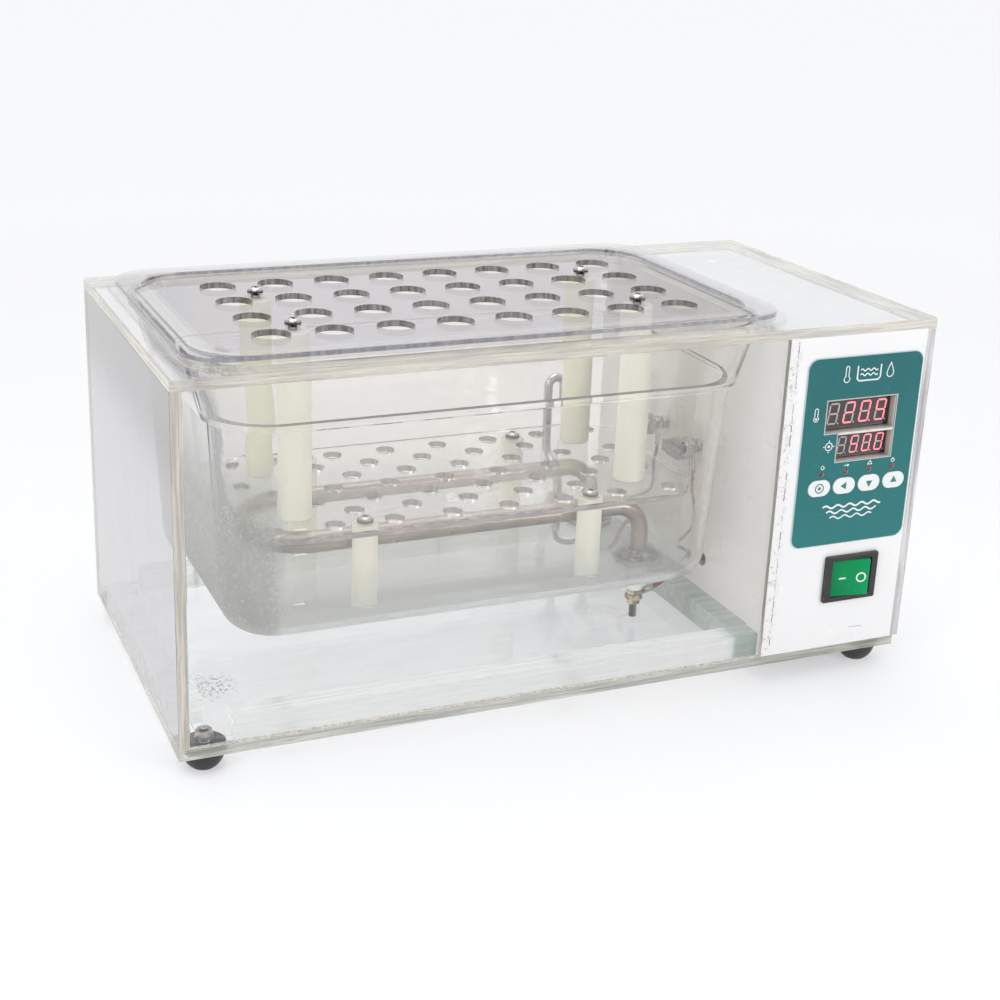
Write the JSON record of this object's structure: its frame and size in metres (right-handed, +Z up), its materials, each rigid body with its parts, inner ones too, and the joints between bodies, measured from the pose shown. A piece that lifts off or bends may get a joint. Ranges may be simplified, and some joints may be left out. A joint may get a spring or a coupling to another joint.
{
  "type": "water bath",
  "caption": "Clear-walled bench water bath with a lift-out perforated cover and tube rack, immersion heater and digital control compartment.",
  "frame": {"origin": "middle of the whole object's box in plan, at bench level under the feet", "axes": "+X along the long side from the tank end to the control end, +Y from the front face to the back, +Z up"},
  "size_m": [0.387, 0.2016, 0.1937],
  "materials": {
    "clear_acrylic": "clear cast sheet, flame polished edges",
    "tank_plastic": "clear moulded polycarbonate, lightly hazed",
    "cover_plastic": "clear moulded polycarbonate",
    "white_acrylic": "opal white sheet, gloss",
    "nylon": "natural turned nylon",
    "stainless": "drawn stainless tube, satin",
    "plated_screw": "bright plated",
    "brass": "turned brass",
    "black_rubber": "moulded rubber",
    "grey_rubber": "silicone rubber",
    "ceramic": "glazed ceramic",
    "label_teal": "printed polyester film",
    "key_white": "printed film over keys",
    "black_plastic": "moulded plastic",
    "display_dark": "smoked display window",
    "lamp_red": "diffused red lens",
    "rocker_green": "translucent green, gloss",
    "circuit_board": "solder mask",
    "wire_red": "silicone sleeve",
    "cable_grey": "cable sheath",
    "core_steel": "varnished laminations",
    "heat_sink": "extruded"
  },
  "bodies": {
    "case": {"base_plate": "clear_acrylic", "front_panel": "clear_acrylic", "left_panel": "clear_acrylic", "back_panel": "clear_acrylic", "right_panel": "clear_acrylic", "top_plate": "clear_acrylic", "divider_panel": "white_acrylic", "control_front_panel": "white_acrylic", "control_liners": "white_acrylic", "corner_strips": "clear_acrylic", "base_screws": "plated_screw", "rubber_feet": "black_rubber", "foot_screws": "plated_screw", "foot_nuts": "plated_screw", "tank": "tank_plastic", "heater_tube": "stainless", "heater_gaskets": "grey_rubber", "heater_flanges": "stainless", "heater_seals": "black_rubber", "heater_insulators": "ceramic", "heater_nuts": "plated_screw", "heater_washers": "brass", "heater_terminals": "brass", "heater_studs": "stainless", "heater_wires": "wire_red", "electrode_studs": "stainless", "electrode_seals": "grey_rubber", "electrode_nuts": "plated_screw", "electrode_terminals": "brass", "electrode_wires": "wire_red", "temperature_probe": "stainless", "probe_gland": "black_plastic", "probe_cable": "cable_grey", "thermal_cutout": "black_plastic", "control_label": "label_teal", "pv_display": "display_dark", "sv_display": "display_dark", "indicator_leds": "lamp_red", "controller_board": "circuit_board", "board_standoffs": "plated_screw", "switch_housing": "black_plastic", "power_inlet": "black_plastic", "inlet_screws": "plated_screw", "transformer": "core_steel", "solid_state_relay": "black_plastic", "relay_heat_sink": "heat_sink", "terminal_block": "white_acrylic"},
    "cover_and_rack": {"lid": "cover_plastic", "lid_screws": "plated_screw", "long_posts": "nylon", "rack_plate": "cover_plastic", "rack_lower_screws": "plated_screw", "short_posts": "nylon", "rack_upper_screws": "plated_screw"},
    "button_set_key": {"button_set": "key_white"},
    "button_left_key": {"button_left": "key_white"},
    "button_down_key": {"button_down": "key_white"},
    "button_up_key": {"button_up": "key_white"},
    "rocker": {"switch_rocker": "rocker_green"}
  },
  "joints": [
    {"name": "cover_lift", "type": "slide", "parent": "case", "child": "cover_and_rack", "axis": [0, 0, 1], "range_m": [0, 0.15]},
    {"name": "button_set_press", "type": "slide", "parent": "case", "child": "button_set_key", "axis": [0, 1, 0], "range_m": [0, 0.0004]},
    {"name": "button_left_press", "type": "slide", "parent": "case", "child": "button_left_key", "axis": [0, 1, 0], "range_m": [0, 0.0004]},
    {"name": "button_down_press", "type": "slide", "parent": "case", "child": "button_down_key", "axis": [0, 1, 0], "range_m": [0, 0.0004]},
    {"name": "button_up_press", "type": "slide", "parent": "case", "child": "button_up_key", "axis": [0, 1, 0], "range_m": [0, 0.0004]},
    {"name": "switch_rock", "type": "hinge", "parent": "case", "child": "rocker", "pos_m": [0.158, -0.09259, 0.0534], "axis": [0, 0, 1], "range_deg": [0, 16]}
  ]
}
